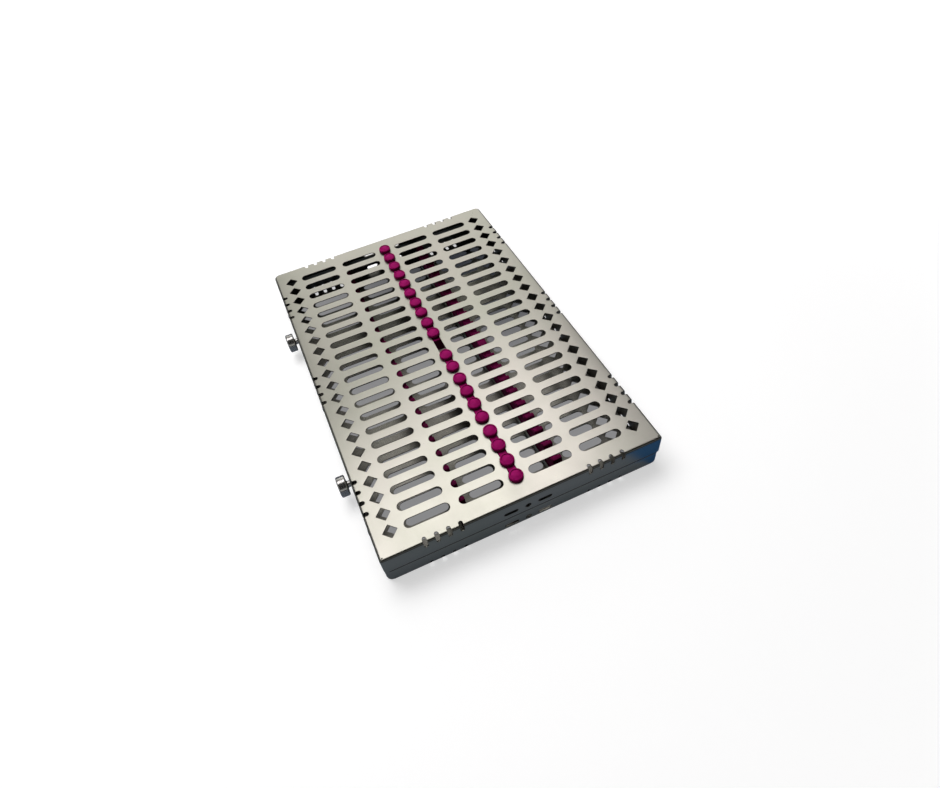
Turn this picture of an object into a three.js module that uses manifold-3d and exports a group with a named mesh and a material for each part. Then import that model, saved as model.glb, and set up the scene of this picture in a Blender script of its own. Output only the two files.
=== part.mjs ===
// Instrument cassette for dental hand instruments: a perforated sheet-steel lid and base joined by two butt
// hinges, held shut by a sliding latch bar with two round knobs, with silicone strips and rails inside that
// hold the instruments apart. X runs across the cassette, towards the hinges. Y runs along it, towards the rear.
// Z is up. The origin is the centre of the base's underside.
import * as THREE from "three";
import { mergeVertices } from "three/addons/utils/BufferGeometryUtils.js";
import Module from "manifold-3d";

const wasm = await Module();
wasm.setup();

// Driving dimensions, in millimetres.
const lidWidth = 186.4;
const lidLength = 280;
const height = 28;
const sheet = 0.8;
const gap = 0.3;
const partingZ = 13.2;
const collarTop = 17.4;
const frontCorner = 1.8;
const rearCorner = 4;
const baseCorner = 4;
const arcSteps = 3;
const holeSides = 8;

const rows = 21;
const middleRow = 10;
const slotWidth = 6.4;
const diamondSide = 6.8;
const lidPattern = { pitch: 12.4, innerX: 23.2, innerLength: 29.1, outerX: 58.2, outerLength: 29.1, diamondX: 81.5 };
const basePattern = { pitch: 12, innerX: 15.4, innerLength: 22, outerX: 56, outerLength: 29, diamondX: 78.6 };

const stripSlotWidth = 5.8;
const stripSlotReach = 3.5;
const stripSlotRows = [[0, 3], [4, 7], [8, 12], [13, 16], [17, 20]];
const studRadius = 4.65;
const studHeight = 2.6;
const stripHalfWidth = 6;
const stripBottom = 16;
const stripPocketRadius = 5;
const pocketSteps = 5;
const studSides = 12;

const railCentres = { left: -35.8, right: 31.1 };
const railWidth = 6.3;
const railTop = 18.7;
const seatRadius = 4.6;
const channelHeight = 4.9;

const endNotch = { width: 2.7, reach: 4, drop: 5.5, pitch: 7.6, centre: 53.9 };
const sideNotch = { width: 2.9, reach: 4.2, drop: 4.6, pitch: 8.1, centre: 95 };
const ventX = 11.4;
const ventLength = 9.5;
const ventWidth = 3;
const ventHoleRadius = 2;
const lidVentZ = 18.5;
const baseVentZ = 4.9;

const hingeY = 60;
const hingeX = 96.5;
const leafHalfLength = 12;
const leafSheet = 1;
const knuckleRadius = 2.8;
const knuckleBore = 1.6;
const knuckleSplit = 4.05;
const pinRadius = 1.4;
const pinHeadRadius = 2.2;
const hingeSides = 12;
const leafRivetY = 7;
const leafRivetRise = 7.1;
const leafRivetDrop = 7.7;
const leafMargin = 3.1;
const rivetHoleRadius = 1.5;
const rivetShankRadius = 1.1;
const rivetHeadRadius = 2.2;
const headHeight = 0.8;
const headBevel = 0.5;
const rivetSides = 10;

const travel = 8;
const knobY = 72;
const knobRadius = 7;
const knobThickness = 5.8;
const knobFaceX = 8.5;
const knobBevel = 0.6;
const knobSides = 16;
const stemRadius = 2.25;
const tenonRadius = 1.3;
const tenonHeadRadius = 2.4;
const guideHeadRadius = 2.8;
const barSheet = 1.2;
const barHalfLength = 122;
const barBottom = 5;
const barTop = 16.6;
const guideY = 108;
const guideZ = 8;
const keeperY = 40;
const keeperHalfWidth = 5;
const keeperBottom = 11;
const keeperSheet = 1;
const keeperLipZ = 12.4;
const keeperThroatZ = 14.8;
const keeperThroatEnd = 2.5;
const keeperStandoff = 1.2;
const tabLength = 6;
const tabClearance = 1.3;
const tabBottom = 13;
const tabTop = 14.2;
const tabReach = 3.2;

// Worked-out places.
const collarInset = sheet + gap;
const collarWidth = lidWidth - 2 * collarInset;
const collarLength = lidLength - 2 * collarInset;
const shoulderTop = partingZ - gap;
const wallX = lidWidth / 2;
const wallInnerX = wallX - sheet;
const plateUnderside = height - sheet;
const stemRoom = stemRadius + 2 * gap;
const tenonRoom = tenonRadius + gap;
const leafBack = wallX + gap;
const leafFace = leafBack + leafSheet;
const barOuterX = -collarWidth / 2 + sheet + gap;
const barInnerX = barOuterX + barSheet;

const steelColour = 0xb9b6aa;
const polishedColour = 0xc9c8c2;
const siliconeColour = 0xa30d63;

// Materials: satin sheet steel, polished turned steel and magenta silicone.
function satinSteel() {
  return new THREE.MeshStandardMaterial({ color: steelColour, roughness: 0.42, metalness: 0.9 });
}

function polishedSteel() {
  return new THREE.MeshStandardMaterial({ color: polishedColour, roughness: 0.2, metalness: 1 });
}

function silicone() {
  return new THREE.MeshStandardMaterial({ color: siliconeColour, roughness: 0.62, metalness: 0 });
}

// Solids: a closed geometry becomes a manifold solid, and back.
function solidFrom(geometry) {
  const plain = geometry.clone();
  plain.deleteAttribute("normal");
  plain.deleteAttribute("uv");
  const merged = mergeVertices(plain, 1e-4);
  const triVerts = new Uint32Array(merged.index.array);
  const vertProperties = new Float32Array(merged.attributes.position.array);
  return new wasm.Manifold(new wasm.Mesh({ numProp: 3, vertProperties, triVerts }));
}

function geometryFrom(solid) {
  const made = solid.getMesh();
  const geometry = new THREE.BufferGeometry();
  geometry.setAttribute("position", new THREE.BufferAttribute(new Float32Array(made.vertProperties), 3));
  geometry.setIndex(new THREE.BufferAttribute(new Uint32Array(made.triVerts), 1));
  geometry.computeVertexNormals();
  return geometry;
}

function union(geometries) {
  return geometries.map(solidFrom).reduce((whole, piece) => whole.add(piece));
}

function piece(name, geometry, material) {
  const mesh = new THREE.Mesh(geometry, material);
  mesh.name = name;
  return mesh;
}

// Outlines. An arc's points run anticlockwise from one angle to another.
function arc(x, y, radius, from, to, steps) {
  return Array.from({ length: steps + 1 }, (_, i) => {
    const angle = from + ((to - from) * i) / steps;
    return new THREE.Vector2(x + radius * Math.cos(angle), y + radius * Math.sin(angle));
  });
}

function slotShape(x, y, length, wide) {
  const radius = wide / 2;
  const reach = length / 2 - radius;
  const right = arc(x + reach, y, radius, -Math.PI / 2, Math.PI / 2, arcSteps);
  const left = arc(x - reach, y, radius, Math.PI / 2, (3 * Math.PI) / 2, arcSteps);
  return new THREE.Shape([...right, ...left]);
}

function uprightSlotShape(x, low, high, wide) {
  const radius = wide / 2;
  const top = arc(x, high - radius, radius, 0, Math.PI, arcSteps);
  const bottom = arc(x, low + radius, radius, Math.PI, 2 * Math.PI, arcSteps);
  return new THREE.Shape([...top, ...bottom]);
}

function circleShape(x, y, radius, sides) {
  return new THREE.Shape(arc(x, y, radius, 0, 2 * Math.PI, sides).slice(0, sides));
}

function diamondShape(x, y, side) {
  return circleShape(x, y, side / Math.SQRT2, 4);
}

function rectangleShape(left, bottom, right, top) {
  const corners = [[left, bottom], [right, bottom], [right, top], [left, top]];
  return new THREE.Shape(corners.map(([x, y]) => new THREE.Vector2(x, y)));
}

// A rectangle whose two rear corners have one radius and whose two front corners have another.
function roundedRectangle(wide, long, rear, front) {
  const corners = [[1, 1, rear], [-1, 1, rear], [-1, -1, front], [1, -1, front]];
  const points = corners.flatMap(([signX, signY, radius], i) => {
    const [x, y] = [signX * (wide / 2 - radius), signY * (long / 2 - radius)];
    return arc(x, y, radius, (i * Math.PI) / 2, ((i + 1) * Math.PI) / 2, arcSteps);
  });
  return new THREE.Shape(points);
}

// Extrusions along each axis. Along X an outline is drawn in (Y, Z), and along Y it is drawn in (X, Z).
function alongZ(shapes, low, high) {
  const geometry = new THREE.ExtrudeGeometry(shapes, { depth: high - low, bevelEnabled: false });
  return geometry.translate(0, 0, low);
}

function alongY(shapes, low, high) {
  const geometry = new THREE.ExtrudeGeometry(shapes, { depth: high - low, bevelEnabled: false });
  return geometry.rotateX(Math.PI / 2).translate(0, high, 0);
}

function alongX(shapes, low, high) {
  const geometry = new THREE.ExtrudeGeometry(shapes, { depth: high - low, bevelEnabled: false });
  const turn = new THREE.Matrix4();
  turn.makeBasis(new THREE.Vector3(0, 1, 0), new THREE.Vector3(0, 0, 1), new THREE.Vector3(1, 0, 0));
  return geometry.applyMatrix4(turn).translate(low, 0, 0);
}

// A turned piece whose axis is X: each profile step is [x, radius], from the lowest x to the highest.
function turned(profile, sides) {
  const points = profile.map(([x, radius]) => new THREE.Vector2(radius, x));
  return new THREE.LatheGeometry(points, sides).rotateZ(-Math.PI / 2);
}

function rowY(row, pitch) {
  return (middleRow - row) * pitch;
}

// Sheet-steel shells. Both are trays with the same kind of perforation.
function perforations(pattern) {
  const shapes = [];
  for (let row = 0; row < rows; row += 1) {
    const y = rowY(row, pattern.pitch);
    for (const side of [-1, 1]) {
      shapes.push(slotShape(side * pattern.innerX, y, pattern.innerLength, slotWidth));
      shapes.push(slotShape(side * pattern.outerX, y, pattern.outerLength, slotWidth));
      shapes.push(diamondShape(side * pattern.diamondX, y, diamondSide));
    }
  }
  return shapes;
}

// Notches over the folded edge, in four groups of four at the ends and six groups of four along the sides.
function edgeNotches(wide, long) {
  const shapes = { end: [], side: [] };
  for (const sign of [-1, 1]) {
    for (let step = -1.5; step <= 1.5; step += 1) {
      for (const group of [-1, 1]) {
        const x = group * endNotch.centre + step * endNotch.pitch;
        const [inner, outer] = [long / 2 - endNotch.reach, long / 2 + 1];
        const [low, high] = sign > 0 ? [inner, outer] : [-outer, -inner];
        shapes.end.push(rectangleShape(x - endNotch.width / 2, low, x + endNotch.width / 2, high));
      }
      for (const group of [-1, 0, 1]) {
        const y = group * sideNotch.centre + step * sideNotch.pitch;
        const [inner, outer] = [wide / 2 - sideNotch.reach, wide / 2 + 1];
        const [low, high] = sign > 0 ? [inner, outer] : [-outer, -inner];
        shapes.side.push(rectangleShape(low, y - sideNotch.width / 2, high, y + sideNotch.width / 2));
      }
    }
  }
  return shapes;
}

function endVents(z, long) {
  const shapes = [-1, 1].map((side) => slotShape(side * ventX, z, ventLength, ventWidth));
  shapes.push(circleShape(0, z, ventHoleRadius, holeSides));
  return alongY(shapes, -long / 2 - 1, long / 2 + 1);
}

function leafRivetHoles(z) {
  const centres = [-1, 1].flatMap((end) => [-1, 1].map((side) => end * hingeY + side * leafRivetY));
  return alongX(centres.map((y) => circleShape(y, z, rivetHoleRadius, holeSides)), wallX - 2, wallX + 2);
}

function block(wide, long, rear, front, low, high) {
  return solidFrom(alongZ(roundedRectangle(wide, long, rear, front), low, high));
}

function cutAll(body, cutters) {
  return cutters.reduce((left, cutter) => left.subtract(solidFrom(cutter)), body);
}

function lidShell() {
  const notches = edgeNotches(lidWidth, lidLength);
  const stripSlots = stripSlotRows.map(([first, last]) =>
    uprightSlotShape(0, rowY(last, lidPattern.pitch) - stripSlotReach,
      rowY(first, lidPattern.pitch) + stripSlotReach, stripSlotWidth));
  const knobNotches = [-1, 1].map((end) =>
    rectangleShape(end * knobY - stemRoom, partingZ - 1, end * knobY + travel + stemRoom, partingZ + stemRoom));
  const outside = block(lidWidth, lidLength, rearCorner, frontCorner, partingZ, height);
  const inside = block(lidWidth - 2 * sheet, lidLength - 2 * sheet, rearCorner - sheet, frontCorner - sheet,
    partingZ - 1, plateUnderside);
  return cutAll(outside.subtract(inside), [
    alongZ([...perforations(lidPattern), ...stripSlots], plateUnderside - 1, height + 1),
    alongZ(notches.end, height - endNotch.drop, height + 1),
    alongZ(notches.side, height - sideNotch.drop, height + 1),
    endVents(lidVentZ, lidLength),
    alongX(knobNotches, -wallX - 1, -wallX + 2),
    leafRivetHoles(partingZ + leafRivetRise),
  ]);
}

// The base's wall is flush with the lid's up to a shoulder, where it steps in to a collar inside the lid.
function baseShell() {
  const notches = edgeNotches(lidWidth, lidLength);
  const collarCorner = baseCorner - collarInset;
  const wallCorner = baseCorner - sheet;
  const innerCorner = collarCorner - sheet;
  const shoulder = shoulderTop - sheet;
  const wall = block(lidWidth, lidLength, baseCorner, baseCorner, 0, shoulderTop);
  const collar = block(collarWidth, collarLength, collarCorner, collarCorner, shoulder, collarTop);
  const well = block(lidWidth - 2 * sheet, lidLength - 2 * sheet, wallCorner, wallCorner, sheet, shoulder);
  const mouth = block(collarWidth - 2 * sheet, collarLength - 2 * sheet, innerCorner, innerCorner,
    shoulder - 1, collarTop + 1);
  const stemSlots = [-1, 1].map((end) =>
    slotShape(end * knobY + travel / 2, partingZ, travel + 2 * stemRoom, 2 * stemRoom));
  const guideHoles = [-1, 0, 1].map((end) => circleShape(end * guideY, guideZ, tenonRoom, holeSides));
  return cutAll(wall.add(collar).subtract(well).subtract(mouth), [
    alongZ(perforations(basePattern), -1, sheet + 1),
    alongZ(notches.end, -1, endNotch.drop),
    alongZ(notches.side, -1, sideNotch.drop),
    endVents(baseVentZ, lidLength),
    alongX([...stemSlots, ...guideHoles], -wallX - 1, barOuterX),
    leafRivetHoles(partingZ - leafRivetDrop),
  ]);
}

// Lid strips: studs above the plate on a neck through each slot, and a comb of pockets below it.
function lidStrip(first, last) {
  const pitch = lidPattern.pitch;
  const rearEnd = rowY(first, pitch) + pitch / 2;
  const frontEnd = rowY(last, pitch) - pitch / 2;
  const comb = [new THREE.Vector2(rearEnd, plateUnderside - gap), new THREE.Vector2(frontEnd, plateUnderside - gap)];
  comb.push(new THREE.Vector2(frontEnd, stripBottom));
  for (let row = last; row >= first; row -= 1) {
    comb.push(...arc(rowY(row, pitch), stripBottom + 1, stripPocketRadius, Math.PI, 0, pocketSteps));
  }
  comb.push(new THREE.Vector2(rearEnd, stripBottom));
  const solids = [alongX(new THREE.Shape(comb), -stripHalfWidth, stripHalfWidth)];
  for (const [from, to] of stripSlotRows) {
    const [start, end] = [Math.max(from, first), Math.min(to, last)];
    if (start > end) continue;
    const low = rowY(end, pitch) - stripSlotReach + gap;
    const high = rowY(start, pitch) + stripSlotReach - gap;
    const neck = uprightSlotShape(0, low, high, stripSlotWidth - 2 * gap);
    solids.push(alongZ(neck, plateUnderside - 2 * gap, height + 2 * gap));
  }
  for (let row = first; row <= last; row += 1) {
    const stud = circleShape(0, rowY(row, pitch), studRadius, studSides);
    solids.push(alongZ(stud, height + gap, height + gap + studHeight));
  }
  return union(solids);
}

// Base rails: a silicone bar with a round seat for each instrument, standing in a steel channel.
function rail() {
  const end = (middleRow + 0.5) * lidPattern.pitch;
  const points = [new THREE.Vector2(end, 2 * (sheet + gap)), new THREE.Vector2(end, railTop)];
  for (let row = 0; row < rows; row += 1) {
    if (row !== middleRow) {
      points.push(...arc(rowY(row, lidPattern.pitch), railTop, seatRadius, 0, -Math.PI, pocketSteps));
    }
  }
  points.push(new THREE.Vector2(-end, railTop), new THREE.Vector2(-end, points[0].y));
  return alongX(new THREE.Shape(points), -railWidth / 2, railWidth / 2);
}

function railChannel() {
  const inner = railWidth / 2 + gap;
  const outer = inner + sheet;
  const low = sheet + gap;
  const outline = [[-outer, low], [outer, low], [outer, low + channelHeight], [inner, low + channelHeight],
    [inner, low + sheet], [-inner, low + sheet], [-inner, low + channelHeight], [-outer, low + channelHeight]];
  const end = (middleRow + 0.5) * lidPattern.pitch;
  return alongY(new THREE.Shape(outline.map(([x, z]) => new THREE.Vector2(x, z))), -end, end);
}

// Hinges, drawn about the pin's axis. Each leaf is a plate, its knuckles, and a tongue up to each knuckle.
function knuckle(low, high) {
  const ring = circleShape(0, 0, knuckleRadius, hingeSides);
  ring.holes.push(circleShape(0, 0, knuckleBore, hingeSides));
  return alongY(ring, low, high);
}

function hingeLeaf(side, rivetOffset, knuckleSpans) {
  const [back, front] = [leafBack - hingeX, leafFace - hingeX];
  const clear = side * (knuckleRadius + gap);
  const far = side * (rivetOffset + leafMargin);
  const plate = rectangleShape(back, Math.min(clear, far), front, Math.max(clear, far));
  const solids = [alongY(plate, -leafHalfLength, leafHalfLength)];
  for (const [low, high] of knuckleSpans) {
    const tip = clear + side * gap;
    const tongue = rectangleShape(back, Math.min(0, tip), front, Math.max(0, tip));
    solids.push(alongY(tongue, low, high), knuckle(low, high));
  }
  const holes = [-1, 1].map((end) =>
    circleShape(end * leafRivetY, side * rivetOffset, rivetHoleRadius, holeSides));
  return cutAll(union(solids), [alongX(holes, back - 1, front + 1)]);
}

function lidLeaf() {
  const reach = knuckleSplit - gap / 2;
  return hingeLeaf(1, leafRivetRise, [[-reach, reach]]);
}

function baseLeaf() {
  const reach = knuckleSplit + gap / 2;
  return hingeLeaf(-1, leafRivetDrop, [[-leafHalfLength, -reach], [reach, leafHalfLength]]);
}

function hingePin() {
  const reach = leafHalfLength + gap;
  const edge = pinHeadRadius - headBevel / 2;
  const profile = [[-reach - headHeight, 0], [-reach - headHeight, edge], [-reach, pinHeadRadius],
    [-reach, pinRadius], [reach, pinRadius], [reach, pinHeadRadius], [reach + headHeight, edge],
    [reach + headHeight, 0]];
  return turned(profile, hingeSides).rotateZ(Math.PI / 2);
}

// A rivet along X whose heads grip from x = low to x = high.
function rivet(low, high, shankRadius, headRadius) {
  const edge = headRadius - headBevel;
  const profile = [[low - headHeight, 0], [low - headHeight, edge], [low, headRadius], [low, shankRadius],
    [high, shankRadius], [high, headRadius], [high + headHeight, edge], [high + headHeight, 0]];
  return turned(profile, rivetSides);
}

// Latch: one bar that slides along the base's wall, with a knob through the wall near each end.
function latchBar() {
  const solids = [alongX(rectangleShape(-barHalfLength, barBottom, barHalfLength, barTop), barOuterX, barInnerX)];
  for (const end of [-1, 1]) {
    const tabEnd = end * keeperY - keeperHalfWidth - tabClearance;
    const tab = rectangleShape(tabEnd - tabLength, tabBottom, tabEnd, tabTop);
    solids.push(alongX(tab, barInnerX - gap, barInnerX + tabReach));
  }
  const guideSlots = [-1, 0, 1].map((end) =>
    slotShape(end * guideY - travel / 2, guideZ, travel + 2 * tenonRoom, 2 * tenonRoom));
  const tenonHoles = [-1, 1].map((end) => circleShape(end * knobY, partingZ, tenonRoom, holeSides));
  return cutAll(union(solids), [alongX([...guideSlots, ...tenonHoles], barOuterX - 1, barInnerX + 1)]);
}

function latchKnob() {
  const face = -wallX - knobFaceX;
  const back = face + knobThickness;
  const rim = knobRadius - knobBevel;
  const [stemEnd, headStart] = [barOuterX - gap, barInnerX + gap];
  const profile = [[face, 0], [face, rim], [face + knobBevel, knobRadius], [back - knobBevel, knobRadius],
    [back, rim], [back, stemRadius], [stemEnd, stemRadius], [stemEnd, tenonRadius], [headStart, tenonRadius],
    [headStart, tenonHeadRadius], [headStart + headHeight, tenonHeadRadius - headBevel],
    [headStart + headHeight, 0]];
  return turned(profile, knobSides);
}

// Keeper: a bracket under the lid whose hook is open towards the front, where the bar's tab slides in.
function keeper() {
  const legBack = barInnerX + keeperStandoff;
  const legFront = legBack + keeperSheet;
  const top = plateUnderside - gap;
  const hook = [[-keeperHalfWidth, top], [-keeperHalfWidth, keeperThroatZ], [keeperThroatEnd, keeperThroatZ],
    [keeperThroatEnd, keeperLipZ], [-keeperHalfWidth, keeperLipZ], [-keeperHalfWidth, keeperBottom],
    [keeperHalfWidth, keeperBottom], [keeperHalfWidth, top]];
  const leg = alongX(new THREE.Shape(hook.map(([y, z]) => new THREE.Vector2(y, z))), legBack, legFront);
  const foot = rectangleShape(-keeperHalfWidth, top - sheet, keeperHalfWidth, top);
  return union([leg, alongX(foot, -wallInnerX + gap, legFront - gap)]);
}

// Assembly: the lid, the base and the latch are groups, and each copy is placed in its group.
const ends = [["rear", 1], ["front", -1]];

const lid = new THREE.Group();
lid.add(piece("lid_shell", geometryFrom(lidShell()), satinSteel()));
lid.add(piece("lid_strip_rear", geometryFrom(lidStrip(0, middleRow - 1)), silicone()));
lid.add(piece("lid_strip_front", geometryFrom(lidStrip(middleRow + 1, rows - 1)), silicone()));

const base = new THREE.Group();
base.add(piece("base_shell", geometryFrom(baseShell()), satinSteel()));
for (const [side, x] of Object.entries(railCentres)) {
  const bar = piece("rail_" + side, rail(), silicone());
  const channel = piece("rail_channel_" + side, railChannel(), satinSteel());
  bar.position.x = x;
  channel.position.x = x;
  base.add(bar, channel);
}

const latch = new THREE.Group();
latch.add(piece("latch_bar", geometryFrom(latchBar()), satinSteel()));

for (const [end, sign] of ends) {
  const catcher = piece("lid_keeper_" + end, geometryFrom(keeper()), satinSteel());
  catcher.position.y = sign * keeperY;
  const hinge = new THREE.Group();
  hinge.position.set(hingeX, sign * hingeY, partingZ);
  const upper = piece("hinge_lid_leaf_" + end, geometryFrom(lidLeaf()), satinSteel());
  const upperHinge = hinge.clone();
  upperHinge.add(upper);
  hinge.add(piece("hinge_base_leaf_" + end, geometryFrom(baseLeaf()), satinSteel()));
  hinge.add(piece("hinge_pin_" + end, hingePin(), polishedSteel()));
  lid.add(catcher, upperHinge);
  base.add(hinge);
  for (const [side, offset] of [["a", leafRivetY], ["b", -leafRivetY]]) {
    for (const [part, holder, z] of [["lid", lid, leafRivetRise], ["base", base, -leafRivetDrop]]) {
      const fastener = rivet(wallInnerX - gap, leafFace + gap, rivetShankRadius, rivetHeadRadius);
      const placed = piece("hinge_" + part + "_rivet_" + end + "_" + side, fastener, polishedSteel());
      placed.position.set(0, sign * hingeY + offset, partingZ + z);
      holder.add(placed);
    }
  }
  const knob = piece("latch_knob_" + end, latchKnob(), polishedSteel());
  knob.position.set(0, sign * knobY, partingZ);
  latch.add(knob);
}

for (const [place, sign] of [...ends, ["middle", 0]]) {
  const guide = piece("latch_guide_" + place,
    rivet(-wallX - gap, barInnerX + gap, tenonRadius, guideHeadRadius), polishedSteel());
  guide.position.set(0, sign * guideY, guideZ);
  base.add(guide);
}

const group = new THREE.Group();
group.add(lid, base, latch);
export default group;
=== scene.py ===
"""Looks of a perforated steel instrument cassette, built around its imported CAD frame.

Everything is modelled in millimetres in the row frame and scaled to metres when a mesh is made.
The shells are cut as flat sheet and folded, as the real ones are. Silicone pieces are moulded forms.
"""

import math

import bmesh
import bpy
import numpy as np
from mathutils import Matrix, Vector


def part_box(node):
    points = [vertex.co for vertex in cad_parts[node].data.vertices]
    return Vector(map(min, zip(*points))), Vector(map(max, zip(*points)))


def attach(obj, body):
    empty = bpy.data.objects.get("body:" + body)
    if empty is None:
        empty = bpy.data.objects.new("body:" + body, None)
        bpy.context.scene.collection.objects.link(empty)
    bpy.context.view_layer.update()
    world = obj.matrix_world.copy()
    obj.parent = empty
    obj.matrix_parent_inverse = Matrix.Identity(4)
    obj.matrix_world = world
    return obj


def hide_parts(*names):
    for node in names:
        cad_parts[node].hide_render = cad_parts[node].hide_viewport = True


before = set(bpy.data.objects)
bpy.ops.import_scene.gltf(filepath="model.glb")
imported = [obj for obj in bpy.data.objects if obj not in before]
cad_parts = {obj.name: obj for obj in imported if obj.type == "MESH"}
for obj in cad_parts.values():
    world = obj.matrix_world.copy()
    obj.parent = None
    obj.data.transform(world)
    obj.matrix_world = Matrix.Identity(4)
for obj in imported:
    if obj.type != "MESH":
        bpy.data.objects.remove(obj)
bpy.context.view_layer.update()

MM = 0.001

# Driving dimensions, in millimetres, read from the frame where a node gives them.


def node_box(node):
    low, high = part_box(node)
    return [c / MM for c in low], [c / MM for c in high]


(LID_LEFT, LID_FRONT, PARTING), (LID_RIGHT, LID_REAR, HEIGHT) = node_box("lid_shell")
_, (_, _, BASE_TOP) = node_box("base_shell")
WIDE = LID_RIGHT - LID_LEFT
LONG = LID_REAR - LID_FRONT
SHEET = 0.8
GAP = 0.3
REAR_CORNER = 4.0
FRONT_CORNER = 1.8
BASE_CORNER = 4.0
LID_BEND = 1.7
BASE_BEND = 2.6
STEP_IN = SHEET + GAP
STEP_LOW = PARTING - 1.5
STEP_HIGH = PARTING - 0.3
BURR = 0.12
RELIEF = 0.7
TURN_STEPS = 6
STEP_CUTS = 6
CORNER_STEPS = 8
NOTCH_STEPS = 9

ROWS = 21
MIDDLE = 10
SLOT = 6.4
DIAMOND = 6.8
DIAMOND_FILLET = 0.45
LID_HOLES = {"pitch": 12.4, "inner": (23.2, 29.1), "outer": (58.2, 29.1), "diamond": 81.5}
BASE_HOLES = {"pitch": 12.0, "inner": (15.4, 22.0), "outer": (56.0, 29.0), "diamond": 78.6}
STRIP_SLOT = 5.8
STRIP_REACH = 3.5
STRIP_SLOT_ROWS = ((0, 3), (4, 7), (8, 12), (13, 16), (17, 20))
NOTCHES = 4
END_NOTCH = {"wide": 2.7, "reach": 4.0, "drop": 5.5, "pitch": 7.6, "groups": (-53.9, 53.9)}
BASE_END_NOTCH = {**END_NOTCH, "reach": 8.2, "drop": 4.0}
SIDE_NOTCH = {"wide": 2.9, "reach": 4.2, "drop": 4.6, "pitch": 8.1, "groups": (-95, 0, 95)}
BASE_SIDE_NOTCH = {**SIDE_NOTCH, "drop": 2.8}
VENT_X = 11.4
VENT = (9.5, 3.0)
VENT_HOLE = 2.0
LID_VENT_Z = 18.5
BASE_VENT_Z = 4.9

STUD_RADIUS = 4.65
STUD_STEM = 2.3
STUD_RIM = 1.15
STUD_FOOT = 0.35
STUD_LOW = HEIGHT + GAP - 0.1
STUD_HIGH = HEIGHT + GAP + 2.6
NECK_TOP = HEIGHT - 0.3
STRIP_HALF = 6.0
STRIP_LOW = 16.0
STRIP_SEAT = 5.0
RAIL_SEAT = 4.6
CHANNEL_FILLET = 1.2

HINGE_X = 96.5
HINGE_Y = 60.0
LEAF_HALF = 12.0
LEAF_SHEET = 1.0
LEAF_FLAT = -2.5
LEAF_FACE = 93.5
LEAF_ENDS = (10.3, -10.8)
LEAF_ROLL = 2.25
KNUCKLE_BOX = (3.3, 3.2, 3.1)
KNUCKLE_HALF = 4.05
KNUCKLE_PLAY = 0.15
PIN_HALF = 12.3
PIN_RADIUS = 1.4
PIN_HEAD = 0.8
PIN_RIM = [(0, 1.0), (0.12, 1.7), (0.35, 2.1), (PIN_HEAD, 2.2)]
# The hinge rivets' places along the leaf, above the parting line and below it, their holes and their sizes.
LEAF_RIVET = (7.0, 7.1, 7.7)
RIVET_HOLE = 1.5
LEAF_RIVET_SIZE = (1.1, 2.2)
RIVET_DOME = 0.8

KNOB_Y = 72.0
KNOB_RADIUS = 7.0
KNOB_DEEP = 5.8
KNOB_STEM = 2.25
KNOB_TENON = 1.3
KNOB_SLOT = 5.7
KNOB_SLOT_FILLET = 1.0
TRAVEL = 8.0
GUIDE_Y = 108.0
GUIDE_Z = 8.0
GUIDE_SIZE = (1.3, 2.8)
PIN_HOLE = 1.6
BAR_SHEET = 1.2
BAR_CORNER = 2.0
TAB_SHEET = 1.1
TAB_WIDE = 6.0
TAB_Y = 6.3
# The middle of a tab: how far in from the bar's inner face, and how high.
TAB_LINE = [(-0.5, 12.2), (0.4, 13.1), (1.2, 13.6), (3.2, 13.6)]
KEEPER_Y = 40.0
KEEPER_SHEET = 1.0
HOOK_MOUTH = (12.4, 14.8)
HOOK_DEEP = 1.9
HOOK_ROUND = 0.6
HOOK_LIP = (0.8, 11.6)


# Outlines: lists of (x, y) points, in millimetres.


def arc(x, y, radius, start, end, steps):
    angles = [math.radians(start + (end - start) * i / steps) for i in range(steps + 1)]
    return [(x + radius * math.cos(a), y + radius * math.sin(a)) for a in angles]


def slot_loop(x, y, long, wide, steps=10):
    radius = wide / 2
    reach = long / 2 - radius
    return arc(x + reach, y, radius, -90, 90, steps) + arc(x - reach, y, radius, 90, 270, steps)


def upright_slot_loop(x, low, high, wide, steps=10):
    radius = wide / 2
    return arc(x, high - radius, radius, 0, 180, steps) + arc(x, low + radius, radius, 180, 360, steps)


def circle_loop(x, y, radius, steps=24):
    return arc(x, y, radius, 0, 360, steps)[:-1]


def diamond_loop(x, y, side):
    points = []
    reach = side / math.sqrt(2) - DIAMOND_FILLET * math.sqrt(2)
    for turn in range(0, 360, 90):
        angle = math.radians(turn)
        cx, cy = x + reach * math.cos(angle), y + reach * math.sin(angle)
        points += arc(cx, cy, DIAMOND_FILLET, turn - 45, turn + 45, 3)
    return points


def row_y(row, pitch):
    return (MIDDLE - row) * pitch


def perforations(holes):
    loops = []
    for row in range(ROWS):
        y = row_y(row, holes["pitch"])
        for side in (-1, 1):
            for x, long in (holes["inner"], holes["outer"]):
                loops.append(slot_loop(side * x, y, long, SLOT))
            loops.append(diamond_loop(side * holes["diamond"], y, DIAMOND))
    return loops


# Meshes.


def object_from(name, bm):
    """Makes an object from a bmesh in millimetres."""
    bmesh.ops.scale(bm, vec=(MM, MM, MM), verts=bm.verts)
    mesh = bpy.data.meshes.new(name)
    bm.to_mesh(mesh)
    bm.free()
    made = bpy.data.objects.new(name, mesh)
    bpy.context.scene.collection.objects.link(made)
    return made


def filled(loops):
    """A flat bmesh of triangles inside the first loop and outside the others."""
    bm = bmesh.new()
    for loop in loops:
        verts = [bm.verts.new((x, y, 0)) for x, y in loop]
        for a, b in zip(verts, verts[1:] + verts[:1]):
            bm.edges.new((a, b))
    bmesh.ops.triangle_fill(bm, edges=bm.edges[:], use_beauty=True, normal=(0, 0, 1))
    return bm


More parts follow.
